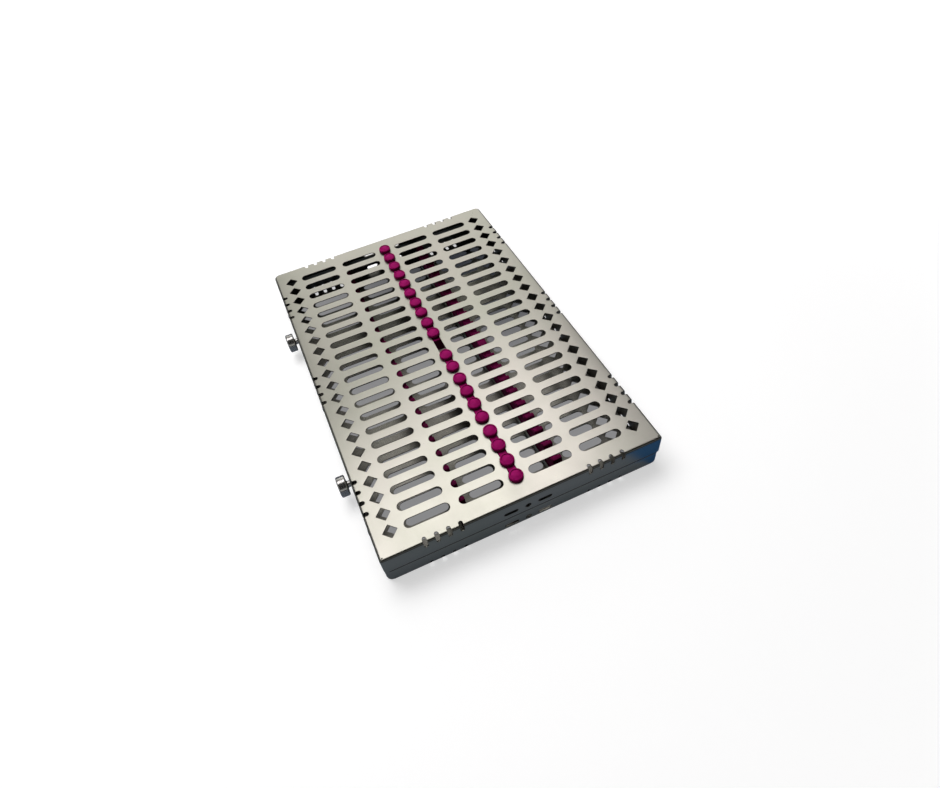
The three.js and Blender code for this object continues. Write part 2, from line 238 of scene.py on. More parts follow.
def cut_lines(bm, axis, places):
    """Cuts a bmesh along lines at the given places on an axis, so that it can bend there."""
    normal = Vector([1.0 if i == axis else 0.0 for i in range(3)])
    for place in places:
        everything = bm.verts[:] + bm.edges[:] + bm.faces[:]
        bmesh.ops.bisect_plane(bm, geom=everything, plane_co=normal * place, plane_no=normal, dist=1e-3)


def bake(made):
    """Applies an object's modifiers to its mesh."""
    bpy.context.view_layer.update()
    evaluated = made.evaluated_get(bpy.context.evaluated_depsgraph_get())
    mesh = bpy.data.meshes.new_from_object(evaluated)
    made.modifiers.clear()
    made.data = mesh
    return made


def soften(made, width, segments, angle):
    """Rounds an object's edges sharper than an angle in degrees, and smooths its shading between them."""
    bevel = made.modifiers.new("round", "BEVEL")
    bevel.width = width * MM
    bevel.segments = segments
    bevel.limit_method = "ANGLE"
    bevel.angle_limit = math.radians(angle)
    bevel.use_clamp_overlap = False
    bake(made)
    return smooth(made)


def smooth(made, angle=32):
    """Smooths an object's shading except over sharp edges, and keeps its large flat faces flat."""
    made.data.polygons.foreach_set("use_smooth", [True] * len(made.data.polygons))
    made.data.set_sharp_from_angle(angle=math.radians(angle))
    weigh = made.modifiers.new("weigh", "WEIGHTED_NORMAL")
    weigh.mode = "FACE_AREA"
    weigh.weight = 100
    weigh.keep_sharp = True
    return bake(made)


def prism(name, loops, low, high, axes="XYZ"):
    """Extrudes a filled outline from low to high. axes gives the row axes of its x, its y and its height."""
    bm = filled(loops)
    for v in bm.verts:
        v.co.z = low
    grown = bmesh.ops.extrude_face_region(bm, geom=bm.faces[:])
    raised = [g for g in grown["geom"] if isinstance(g, bmesh.types.BMVert)]
    bmesh.ops.translate(bm, vec=(0, 0, high - low), verts=raised)
    columns = [Vector([1.0 if "XYZ"[i] == axis else 0.0 for i in range(3)]) for axis in axes]
    turn = Matrix(columns).transposed().to_4x4()
    bmesh.ops.transform(bm, matrix=turn, verts=bm.verts)
    bmesh.ops.recalc_face_normals(bm, faces=bm.faces)
    return object_from(name, bm)


def turned(name, profile, steps, axis, at):
    """A turned piece. profile lists (place along the axis, radius), and starts and ends at radius 0."""
    bm = bmesh.new()
    rings = []
    for place, radius in profile:
        if radius < 1e-6:
            rings.append([bm.verts.new((place, 0, 0))])
        else:
            rings.append([bm.verts.new((place, y, z)) for y, z in circle_loop(0, 0, radius, steps)])
    for near, far in zip(rings, rings[1:]):
        for i in range(steps):
            j = (i + 1) % steps
            corners = [near[i % len(near)], near[j % len(near)], far[j % len(far)], far[i % len(far)]]
            bm.faces.new(list(dict.fromkeys(corners)))
    if axis == "Y":
        bmesh.ops.rotate(bm, matrix=Matrix.Rotation(math.pi / 2, 3, "Z"), verts=bm.verts)
    if axis == "Z":
        bmesh.ops.rotate(bm, matrix=Matrix.Rotation(-math.pi / 2, 3, "Y"), verts=bm.verts)
    bmesh.ops.translate(bm, vec=at, verts=bm.verts)
    bmesh.ops.recalc_face_normals(bm, faces=bm.faces)
    return smooth(object_from(name, bm), 40)


def combine(target, others, operation="UNION"):
    """Joins or cuts an object with others, which are used up."""
    for other in others:
        cut = target.modifiers.new(operation, "BOOLEAN")
        cut.operation = operation
        cut.object = other
        cut.solver = "EXACT"
    bake(target)
    for other in others:
        bpy.data.objects.remove(other)
    return target


# Folded trays. The plate is flat, and the wall is a strip that is bent over its edge and round its corners.

# The rear, left, front and right sides: which way each faces and which way it runs, anticlockwise.
SIDES = (((0, 1), (-1, 0)), ((-1, 0), (0, -1)), ((0, -1), (1, 0)), ((1, 0), (0, 1)))
REAR_SIDE, LEFT_SIDE, FRONT_SIDE, RIGHT_SIDE = range(4)
CORNERS = ((-1, 1), (-1, -1), (1, -1), (1, 1))
BITE = ((-0.75, 0.0), (-1.05, -0.35), (-1.05, -1.05), (-0.35, -1.05), (0.0, -0.75))
HALF_ROUND = [(math.cos(q), math.sin(q)) for q in np.linspace(0, math.pi, NOTCH_STEPS)]


class Tray:
    """A sheet tray with walls that go down from a crown, or up from the table where the crown is 0.

    corners are the wall's outer radii at the end of the rear, left, front and right sides, and relieved the
    sides whose ends have a bite in the plate. A tray that steps in has a collar that goes up inside the lid.
    """

    def __init__(self, crown, bend, wall, corners, relieved=(), steps_in=False):
        self.middle = crown - SHEET / 2 if crown > 0 else SHEET / 2
        self.crown = crown
        self.down = -1 if crown > 0 else 1
        self.bend = bend
        self.radius = bend - SHEET / 2
        self.turn = self.radius * math.pi / 2
        self.drop = self.turn + wall - bend
        self.corners = corners
        self.relieved = relieved
        self.steps_in = steps_in
        self.runs = []
        start = 0.0
        half = (WIDE / 2, LONG / 2)
        for i, (normal, way) in enumerate(SIDES):
            across, away = half[i % 2], half[1 - i % 2]
            before, after = corners[i - 1], corners[i]
            length = 2 * across - before - after
            origin = Vector(normal) * (away - bend) - Vector(way) * (across - before)
            corner = (after - SHEET / 2) * math.pi / 2
            self.runs.append((start, length, corner, origin, Vector(way), Vector(normal)))
            start += length + corner
        self.total = start

    def along(self, x, y, side):
        """How far along the strip a point on a side's wall is."""
        start, _, _, origin, way, _ = self.runs[side]
        return start + (Vector((x, y)) - origin).dot(way)

    def wall_point(self, x, y, z, side):
        """The strip's (s, t) for a point of the wall."""
        return self.along(x, y, side), self.turn + abs(z - max(self.crown, 0)) - self.bend

    def fold(self, s, t):
        """The row-frame place of the strip's point s along the edge and t down the bend and the wall."""
        for i, (start, length, corner, origin, way, normal) in enumerate(self.runs):
            if s <= start + length + 1e-3:
                edge = origin + way * (s - start)
                break
            if s <= start + length + corner + 1e-3:
                turn = (s - start - length) / corner * math.pi / 2
                inner = self.corners[i] - self.bend
                centre = origin + way * length - normal * inner
                normal = normal * math.cos(turn) + way * math.sin(turn)
                edge = centre + normal * inner
                break
        angle = min(t, self.turn) / self.radius
        out = self.radius * math.sin(angle)
        z = self.middle + self.down * (self.radius * (1 - math.cos(angle)) + max(0.0, t - self.turn))
        if self.steps_in:
            step = min(1.0, max(0.0, (z - STEP_LOW) / (STEP_HIGH - STEP_LOW)))
            out -= STEP_IN * step * step * (3 - 2 * step)
        place = edge + normal * out
        return place.x, place.y, z

    def plate_outline(self, notches):
        """The plate's edge, anticlockwise, with the notches' inner halves and the corners' relief bites."""
        points = []
        for i, (_, length, _, origin, way, normal) in enumerate(self.runs):
            for place, wide, reach, _ in sorted(notches[i % 2], key=lambda n: n[0] * (way.x + way.y)):
                run = (Vector((place, 0)) if i % 2 == 0 else Vector((0, place))) - origin
                mouth = origin + way * run.dot(way)
                depth = reach - self.bend - wide / 2
                edge = [(-wide / 2 * c, -depth - wide / 2 * s) for c, s in HALF_ROUND]
                edge = [(-wide / 2, 0)] + edge + [(wide / 2, 0)]
                points += [mouth + way * a + normal * b for a, b in edge]
            inner = self.corners[i] - self.bend
            centre = origin + way * length - normal * inner
            turns = [math.pi / 2 * k / CORNER_STEPS for k in range(CORNER_STEPS + 1)]
            rim = [centre + (normal * math.cos(q) + way * math.sin(q)) * inner for q in turns]
            if i in self.relieved:
                tip = centre + (normal + way) * (inner * 0.7)
                points += rim[:1] + [tip + (way * a + normal * b) * RELIEF for a, b in BITE] + rim[-1:]
            else:
                points += rim
        return [(p.x, p.y) for p in points]

    def strip_outline(self, notches):
        """The wall's strip, in (s, t), with the notches' outer halves in its top edge."""
        points = [(0.0, 0.0)]
        for i, (start, _, _, origin, way, _) in enumerate(self.runs):
            for place, wide, _, drop in sorted(notches[i % 2], key=lambda n: n[0] * (way.x + way.y)):
                point = Vector((place, 0)) if i % 2 == 0 else Vector((0, place))
                middle = start + (point - origin).dot(way)
                bottom = self.turn + drop - self.bend
                points.append((middle - wide / 2, 0.0))
                points += [(middle - wide / 2 * c, bottom - wide / 2 + wide / 2 * s) for c, s in HALF_ROUND]
                points.append((middle + wide / 2, 0.0))
        return points + [(self.total, 0.0), (self.total, self.drop), (0.0, self.drop)]

    def build(self, name, loops, notches, wall_loops, cutters=()):
        """The folded tray: plate and strip filled flat, cut where they bend, folded, joined and thickened.

        loops are holes in the plate and wall_loops in the strip. The cutters go through the finished sheet.
        """
        plate = filled([self.plate_outline(notches)] + loops)
        for v in plate.verts:
            v.co.z = self.middle
        strip = filled([self.strip_outline(notches)] + wall_loops)
        bends = [self.turn * k / TURN_STEPS for k in range(1, TURN_STEPS + 1)]
        if self.steps_in:
            heights = [STEP_LOW + (STEP_HIGH - STEP_LOW) * k / STEP_CUTS for k in range(STEP_CUTS + 1)]
            bends += [self.wall_point(0, 0, z, REAR_SIDE)[1] for z in heights]
        cut_lines(strip, 1, bends)
        for start, length, corner, *_ in self.runs:
            cut_lines(strip, 0, [start + length + corner * k / CORNER_STEPS for k in range(CORNER_STEPS + 1)])
        for v in strip.verts:
            v.co = self.fold(v.co.x, v.co.y)
        folded = bpy.data.meshes.new("strip")
        strip.to_mesh(folded)
        strip.free()
        plate.from_mesh(folded)
        bmesh.ops.remove_doubles(plate, verts=plate.verts, dist=0.01)
        bmesh.ops.recalc_face_normals(plate, faces=plate.faces)
        made = object_from(name, plate)
        thick = made.modifiers.new("thick", "SOLIDIFY")
        thick.thickness = SHEET * MM
        thick.offset = 0
        thick.use_even_offset = True
        bake(made)
        if cutters:
            combine(made, cutters, "DIFFERENCE")
        return mark_cuts_shade_and_bends(smooth(self.held(soften(made, BURR, 2, 50))), self.middle)

    def held(self, made):
        """Brings the few vertices that a bevel threw outwards back onto the walls and their corners."""
        spots = np.empty(len(made.data.vertices) * 3)
        made.data.vertices.foreach_get("co", spots)
        spots = spots.reshape(-1, 3)
        half = np.array((WIDE / 2, LONG / 2))
        plan = np.clip(spots[:, :2] / MM, -half, half)
        for radius, way in zip(self.corners, CORNERS):
            centre = (half - radius) * way
            out = plan - centre
            far = np.linalg.norm(out, axis=1)
            past = (out * way > 0).all(axis=1) & (far > radius)
            plan[past] = centre + out[past] * (radius / far[past])[:, None]
        spots[:, :2] = plan * MM
        made.data.vertices.foreach_set("co", spots.ravel())
        return made


# How strongly a bend is marked, as a painted dark reflection, and the leans of its faces: the upright part of
# their normals.
BEND_DARK_REFLECTION = 0.75
BEND_LEAN = (0.2, 0.95)
CUT_LEAN = 0.35
SEAM_LOW = STEP_LOW + 0.3


def mark_cuts_shade_and_bends(made, middle):
    """Marks faces that the steel's material darkens: punched ones, as raw steel with painted shade on them,
    those in the seam, as painted shade, and, less, the bends, as a painted dark reflection.
    """
    cut = made.data.attributes.new("cut", "FLOAT", "FACE")
    for face, mark in zip(made.data.polygons, cut.data):
        x, y, z = face.center / MM
        lean = abs(face.normal.z)
        on_plate = abs(x) < WIDE / 2 - 1 and abs(y) < LONG / 2 - 1 and abs(z - middle) < SHEET / 2
        in_seam = SEAM_LOW < z < PARTING + BURR
        bent = abs(x) > WIDE / 2 - LID_BEND or abs(y) > LONG / 2 - LID_BEND
        # Punched faces are raw steel with painted shade on them; the seam's faces get painted shade.
        if in_seam or on_plate and lean < CUT_LEAN:
            mark.value = 1.0
        # The bends get a painted dark reflection.
        elif bent and BEND_LEAN[0] < lean < BEND_LEAN[1] and abs(z - middle) < LID_BEND:
            mark.value = BEND_DARK_REFLECTION
    return made


def notch_places(*notches):
    """Notches by side, ends first: (place along the side, width, reach over the plate, drop down the wall).

    The tray looks them up by side, ends for the rear and front and sides for the left and right.
    """
    made = []
    for notch in notches:
        steps = [(k - (NOTCHES - 1) / 2) * notch["pitch"] for k in range(NOTCHES)]
        places = [group + step for group in notch["groups"] for step in steps]
        made.append([(place, notch["wide"], notch["reach"], notch["drop"]) for place in places])
    return made


def vent_loops(tray, z):
    loops = []
    for side in (REAR_SIDE, FRONT_SIDE):
        for x in (-VENT_X, VENT_X):
            loops.append(slot_loop(*tray.wall_point(x, 0, z, side), *VENT))
        loops.append(circle_loop(*tray.wall_point(0, 0, z, side), VENT_HOLE))
    return loops


def rivet_loops(tray, z):
    spots = [end * HINGE_Y + side * LEAF_RIVET[0] for end in (-1, 1) for side in (-1, 1)]
    return [circle_loop(*tray.wall_point(0, y, z, RIGHT_SIDE), RIVET_HOLE) for y in spots]


# The pieces.


def lid_sheet():
    corners = (REAR_CORNER, FRONT_CORNER, FRONT_CORNER, REAR_CORNER)
    tray = Tray(HEIGHT, LID_BEND, HEIGHT - PARTING, corners, relieved=(LEFT_SIDE, FRONT_SIDE))
    loops = perforations(LID_HOLES)
    for first, last in STRIP_SLOT_ROWS:
        low = row_y(last, LID_HOLES["pitch"]) - STRIP_REACH
        high = row_y(first, LID_HOLES["pitch"]) + STRIP_REACH
        loops.append(upright_slot_loop(0, low, high, STRIP_SLOT))
    walls = vent_loops(tray, LID_VENT_Z) + rivet_loops(tray, PARTING + LEAF_RIVET[1])
    slots = []
    for end in (-1, 1):
        low, high = end * KNOB_Y - KNOB_SLOT / 2, end * KNOB_Y + TRAVEL + KNOB_SLOT / 2
        fillet = KNOB_SLOT_FILLET
        top = PARTING + KNOB_SLOT / 2 - fillet
        outline = [(low, PARTING - 1), (high, PARTING - 1)] + arc(high - fillet, top, fillet, 0, 90, 4)
        outline += arc(low + fillet, top, fillet, 90, 180, 4)
        slots.append(prism("knob_slot", [outline], LID_LEFT - 1, LID_LEFT + 2, "YZX"))
    return tray.build("lid_sheet", loops, notch_places(END_NOTCH, SIDE_NOTCH), walls, slots)


def base_sheet():
    tray = Tray(0, BASE_BEND, BASE_TOP, (BASE_CORNER,) * 4, steps_in=True)
    walls = vent_loops(tray, BASE_VENT_Z) + rivet_loops(tray, PARTING - LEAF_RIVET[2])
    for end in (-1, 1):
        middle = tray.wall_point(0, end * KNOB_Y + TRAVEL / 2, PARTING, LEFT_SIDE)
        walls.append(slot_loop(*middle, TRAVEL + KNOB_SLOT, KNOB_SLOT))
    for end in (-1, 0, 1):
        walls.append(circle_loop(*tray.wall_point(0, end * GUIDE_Y, GUIDE_Z, LEFT_SIDE), PIN_HOLE))
    notches = notch_places(BASE_END_NOTCH, BASE_SIDE_NOTCH)
    return tray.build("base_sheet", perforations(BASE_HOLES), notches, walls)


def stud(name, y):
    """A low round button with a rounded rim and a slightly crowned top."""
    radius, foot, low = STUD_RADIUS, STUD_FOOT, STUD_LOW
    profile = [(HEIGHT - SHEET, 0), (HEIGHT - SHEET, STUD_STEM), (low, STUD_STEM)]
    profile += [(low, radius - foot), (low + 0.1, radius - 0.1), (low + foot, radius)]
    profile += arc(STUD_HIGH - STUD_RIM, radius - STUD_RIM, STUD_RIM, 0, 90, 7)
    profile += [(STUD_HIGH, radius * 0.5), (STUD_HIGH, 0)]
    return turned(name, profile, 40, "Z", (0, y, 0))


def lid_strip(name, first, last):
    """A strip: studs above the plate, necks through its slots and a comb of pockets below it."""
    pitch = LID_HOLES["pitch"]
    rear, front = row_y(first, pitch) + pitch / 2, row_y(last, pitch) - pitch / 2
    top = HEIGHT - SHEET - GAP
    comb = [(rear, top), (front, top), (front, STRIP_LOW)]
    for row in range(last, first - 1, -1):
        comb += arc(row_y(row, pitch), STRIP_LOW + 1, STRIP_SEAT, 180, 0, 12)
    comb.append((rear, STRIP_LOW))
    body = soften(prism(name, [comb], -STRIP_HALF, STRIP_HALF, "YZX"), 0.4, 2, 40)
    extras = []
    for start, end in STRIP_SLOT_ROWS:
        start, end = max(start, first), min(end, last)
        if start <= end:
            low = row_y(end, pitch) - STRIP_REACH + GAP
            high = row_y(start, pitch) + STRIP_REACH - GAP
            neck = upright_slot_loop(0, low, high, STRIP_SLOT - 2 * GAP)
            extras.append(soften(prism("neck", [neck], HEIGHT - SHEET - 1, NECK_TOP), 0.25, 2, 50))
    extras += [stud("stud", row_y(row, pitch)) for row in range(first, last + 1)]
    return smooth(combine(body, extras), 38)


def rail(name, node):
    """A silicone rail with a round seat for each instrument."""
    (left, front, low), (right, rear, high) = node_box(node)
    outline = [(rear, low), (rear, high)]
    for row in range(ROWS):
        if row != MIDDLE:
            outline += arc(row_y(row, LID_HOLES["pitch"]), high, RAIL_SEAT, 0, -180, 14)
    outline += [(front, high), (front, low)]
    return soften(prism(name, [outline], left, right, "YZX"), 0.45, 3, 40)


def channel(name, node):
    """The steel channel that a rail stands in."""
    (left, front, low), (right, rear, high) = node_box(node)
    fillet, bend = CHANNEL_FILLET, CHANNEL_FILLET - SHEET
    outer = [(right, high)] + arc(right - fillet, low + fillet, fillet, 0, -90, 5)
    outer += arc(left + fillet, low + fillet, fillet, -90, -180, 5) + [(left, high)]
    inner = [(left + SHEET, high)] + arc(left + fillet, low + fillet, bend, 180, 270, 4)
    inner += arc(right - fillet, low + fillet, bend, 270, 360, 4) + [(right - SHEET, high)]
    return soften(prism(name, [outer + inner], -rear, -front, "XZY"), BURR, 2, 50)


def thickened(line, thick):
    """The outline of a bent sheet whose middle follows the line."""
    left, right = [], []
    for i, (x, y) in enumerate(line):
        ax, ay = line[max(i - 1, 0)]
        bx, by = line[min(i + 1, len(line) - 1)]
        run = math.hypot(bx - ax, by - ay)
        nx, ny = -(by - ay) / run * thick / 2, (bx - ax) / run * thick / 2
        left.append((x + nx, y + ny))
        right.append((x - nx, y - ny))
    return left + right[::-1]


def leaf(name, end, line, gaps, holes_z):
    """A hinge leaf: sheet rolled round the pin, cut away where the other leaf's knuckles go."""
    section = [(HINGE_X + x, PARTING + z) for x, z in thickened(line, LEAF_SHEET)]
    centre = end * HINGE_Y
    made = prism(name, [section], -(centre + LEAF_HALF), -(centre - LEAF_HALF), "XZY")
    cuts = []
    left, right, tall = KNUCKLE_BOX
    for low, high in gaps:
        box = [(HINGE_X - left, PARTING - tall), (HINGE_X + right, PARTING - tall)]
        box += [(HINGE_X + right, PARTING + tall), (HINGE_X - left, PARTING + tall)]
        cuts.append(prism("gap", [box], -(centre + high), -(centre + low), "XZY"))
    for side in (-1, 1):
        hole = circle_loop(centre + side * LEAF_RIVET[0], holes_z, RIVET_HOLE)
        cuts.append(prism("hole", [hole], LEAF_FACE - 2, LEAF_FACE + 3, "YZX"))
    return soften(combine(made, cuts, "DIFFERENCE"), 0.15, 2, 45)


def hinge(end, label):
    """One butt hinge: two rolled leaves, a headed pin and four rivets."""
    pieces = []
    narrow, wide, past = KNUCKLE_HALF - KNUCKLE_PLAY, KNUCKLE_HALF + KNUCKLE_PLAY, LEAF_HALF + 0.5
    for body, up, tip, turn, gaps, rise in (
        ("lid", 1, LEAF_ENDS[0], 495, [(-past, -narrow), (narrow, past)], LEAF_RIVET[1]),
        ("base", -1, LEAF_ENDS[1], -135, [(-wide, wide)], -LEAF_RIVET[2]),
    ):
        line = [(LEAF_FLAT, tip), (LEAF_FLAT, up * 6), (LEAF_FLAT, up * 2.6), (LEAF_FLAT + 0.08, up * 1.2)]
        line += arc(0, 0, LEAF_ROLL, 180, turn, 26)
        piece = leaf(f"hinge_leaf_{body}_{label}", end, line, gaps, PARTING + rise)
        pieces.append((piece, body, f"hinge_{body}_leaf_{label}", "satin_steel"))
    reach, tip = PIN_HALF, PIN_HALF + PIN_HEAD
    profile = [(-tip, 0)] + [(-tip + a, r) for a, r in PIN_RIM] + [(-reach, PIN_RADIUS), (reach, PIN_RADIUS)]
    profile += [(tip - a, r) for a, r in PIN_RIM[::-1]] + [(tip, 0)]
    pin = turned("hinge_pin_piece_" + label, profile, 32, "Y", (HINGE_X, end * HINGE_Y, PARTING))
    pieces.append((pin, "base", "hinge_pin_" + label, "polished_steel"))
    for side, mark in ((1, "a"), (-1, "b")):
        for body, rise in (("lid", LEAF_RIVET[1]), ("base", -LEAF_RIVET[2])):
            node = f"hinge_{body}_rivet_{label}_{mark}"
            at = (0, end * HINGE_Y + side * LEAF_RIVET[0], PARTING + rise)
            piece = rivet(f"rivet_{body}_{label}_{mark}", node, *LEAF_RIVET_SIZE, at)
            pieces.append((piece, body, node, "polished_steel"))
    return pieces


def dome(low, high, radius):
    """A rivet head's profile from its crown to its rim."""
    turns = np.linspace(0, math.pi / 2, 8)
    return [(low + (high - low) * (1 - math.cos(q)), radius * math.sin(q)) for q in turns]


def rivet(name, node, shank, head, at):
    """A rivet across a wall, with a domed head at each end."""
    (low, _, _), (high, _, _) = node_box(node)
    inner, outer = low + RIVET_DOME, high - RIVET_DOME
    profile = dome(low, inner, head) + [(inner, shank), (outer, shank)] + dome(high, outer, head)[::-1]
    return turned(name, profile, 28, "X", at)


def latch_bar():
    """The sliding bar: slotted for its guides, drilled for its knobs, with two tabs bent in as hooks."""
    (left, front, low), (_, rear, high) = node_box("latch_bar")
    inner, corner = left + BAR_SHEET, BAR_CORNER
    outline = arc(rear - corner, high - corner, corner, 0, 90, 5)
    outline += arc(front + corner, high - corner, corner, 90, 180, 5)
    outline += arc(front + corner, low + corner, corner, 180, 270, 5)
    outline += arc(rear - corner, low + corner, corner, 270, 360, 5)
    wide = 2 * PIN_HOLE
    holes = [slot_loop(end * GUIDE_Y - TRAVEL / 2, GUIDE_Z, TRAVEL + wide, wide) for end in (-1, 0, 1)]
    holes += [circle_loop(end * KNOB_Y, PARTING, PIN_HOLE) for end in (-1, 1)]
    made = soften(prism("latch_bar_sheet", [outline] + holes, left, inner, "YZX"), BURR, 2, 50)
    tabs = []
    line = [(inner + x, z) for x, z in TAB_LINE]
    for end in (-1, 1):
        y = end * KEEPER_Y - TAB_Y
        tab = prism("tab", [thickened(line, TAB_SHEET)], -y, -y + TAB_WIDE, "XZY")
        tabs.append(soften(tab, 0.15, 2, 45))
    return smooth(combine(made, tabs), 35)


def knob(name, node, y):
    """A round knob: domed face, rounded rim with two fine grooves, stem, and a riveted tenon."""
    (face, _, _), (tip, _, _) = node_box(node)
    radius, back, stem, tenon = KNOB_RADIUS, face + KNOB_DEEP, KNOB_STEM, KNOB_TENON
    profile = [(face, 0), (face, 4.6), (face + 0.12, 5.2)]
    profile += arc(face + 1.1, radius - 1.0, 1.0, 175, 90, 6)
    for groove in (face + 2.3, face + 3.5):
        profile += [(groove - 0.15, radius), (groove, radius - 0.15), (groove + 0.15, radius)]
    profile += arc(back - 0.8, radius - 0.8, 0.8, 90, 0, 5)
    profile += [(back, 3.1), (back + 0.3, 2.6), (back + 0.6, stem), (tip - 2.7, stem), (tip - 2.7, tenon)]
    profile += [(tip - 0.9, tenon), (tip - 0.9, 2.4)] + dome(tip, tip - RIVET_DOME, 2.3)[::-1]
    return turned(name, profile, 64, "X", (0, y, PARTING))


def keeper(name, node):
    """A bracket under the lid whose leg ends in a hook."""
    (left, front, low), (right, rear, high) = node_box(node)
    y = (front + rear) / 2
    floor, roof = HOOK_MOUTH
    deep, bend = y + HOOK_DEEP, HOOK_ROUND
    lip_y, lip_z = front + HOOK_LIP[0], HOOK_LIP[1]
    hook = [(front, high), (front, roof)] + arc(deep, roof - bend, bend, 90, 0, 4)
    hook += arc(deep, floor + bend, bend, 0, -90, 4) + [(lip_y, floor)] + arc(lip_y, lip_z, bend, 120, 250, 5)
    hook += [(rear - 1, low)] + arc(rear - 1, low + 1, 1, -90, 0, 4) + [(rear, high)]
    leg = prism(name, [hook], right - KEEPER_SHEET, right, "YZX")
    foot = [(left, high), (left, high - SHEET), (right - 0.2, high - SHEET), (right - 0.2, high)]
    return soften(combine(leg, [prism("foot", [foot], -rear, -front, "XZY")]), 0.12, 2, 45)


# Materials.

# Each tint goes with a value of the material's mottle, and a painted shade value is what is left of the
# tint where other pieces stand close over it: shade painted into the colour by ambient occlusion.
STEEL_TINTS = [(0.30, (0.61, 0.62, 0.52)), (0.50, (0.66, 0.65, 0.57)), (0.72, (0.70, 0.67, 0.60))]
STEEL_PAINTED_SHADE = 0.26
SILICONE_TINTS = [(0.35, (0.275, 0.0018, 0.092)), (0.65, (0.34, 0.004, 0.123))]
SILICONE_PAINTED_SHADE = 0.34
POLISHED_TINT = (0.74, 0.73, 0.70)
# Marked faces keep this much of the colour: raw punched edges with painted shade on them, painted shade in
# the seam and, by the bend mark, a painted dark reflection on the bends.
MARKED_TONE = 0.16
SATIN_ROUGHNESS = (0.24, 0.38)
POLISHED_ROUGHNESS = (0.12, 0.26)
SILICONE_ROUGHNESS = (0.48, 0.66)
# The painted shade looks for cover this far away, in millimetres. Cover counts in full below the first share
# and not at all above the second.
SHADE_REACH = 45
SHADE_SHARES = (0.38, 0.72)


def new_material(name):
    made = bpy.data.materials.new(name)
    made.use_nodes = True
    nodes, links = made.node_tree.nodes, made.node_tree.links
    return made, nodes, links, nodes["Principled BSDF"]


def noise(nodes, links, scale, stretch=(1, 1, 1), **settings):
    """Noise on object coordinates in millimetres, stretched along the axes."""
    place = nodes.new("ShaderNodeTexCoord")
    mapping = nodes.new("ShaderNodeMapping")
    mapping.inputs["Scale"].default_value = [s / MM for s in stretch]
    links.new(place.outputs["Object"], mapping.inputs["Vector"])
    made = nodes.new("ShaderNodeTexNoise")
    made.inputs["Scale"].default_value = scale
    for key, value in settings.items():
        made.inputs[key].default_value = value
    links.new(mapping.outputs["Vector"], made.inputs["Vector"])
    return made.outputs["Fac"]


def ramp(nodes, links, source, stops):
    """A colour by a value. stops lists (value, colour)."""
    made = nodes.new("ShaderNodeValToRGB")
    while len(made.color_ramp.elements) < len(stops):
        made.color_ramp.elements.new(0.5)
    for element, (place, colour) in zip(made.color_ramp.elements, stops):
        element.position = place
        element.color = (*colour, 1)
    links.new(source, made.inputs["Fac"])
    return made.outputs["Color"]


def ranged(nodes, links, source, near, far, low, high, kind="LINEAR"):
    """A value that goes from low to high as its source goes from near to far."""
    made = nodes.new("ShaderNodeMapRange")
    made.interpolation_type = kind
    for key, value in {"From Min": near, "From Max": far, "To Min": low, "To Max": high}.items():
        made.inputs[key].default_value = value
    links.new(source, made.inputs["Value"])
    return made.outputs["Result"]


def scaled(nodes, links, source, low, high):
    """A value that goes from low to high as its source goes from 0 to 1."""
    return ranged(nodes, links, source, 0.0, 1.0, low, high)


def add(nodes, links, a, b, operation="ADD"):
    """The sum of two values, or another operation on them. Each is a number or a socket."""
    made = nodes.new("ShaderNodeMath")
    made.operation = operation
    for socket, value in zip(made.inputs, (a, b)):
        if isinstance(value, (int, float)):
            socket.default_value = value
        else:
            links.new(value, socket)
    return made.outputs["Value"]


def bump(nodes, links, height, strength, distance, target):
    """Bumps by a height value, as deep as the distance in millimetres."""
    made = nodes.new("ShaderNodeBump")
    made.inputs["Strength"].default_value = strength
    made.inputs["Distance"].default_value = distance * MM
    links.new(height, made.inputs["Height"])
    links.new(made.outputs["Normal"], target)


def darkened(nodes, links, colour, amount):
    """A colour times a value."""
    made = nodes.new("ShaderNodeVectorMath")
    made.operation = "SCALE"
    links.new(colour, made.inputs[0])
    links.new(amount, made.inputs["Scale"])
    return made.outputs["Vector"]


def shade(nodes, links, darkest):
    """Painted shade by ambient occlusion: 1 in the open, down to the darkest value in corners and under the
    lid.
    """
    hollow = nodes.new("ShaderNodeAmbientOcclusion")
    hollow.samples = 8
    hollow.inputs["Distance"].default_value = SHADE_REACH * MM
    return ranged(nodes, links, hollow.outputs["AO"], *SHADE_SHARES, darkest, 1.0)


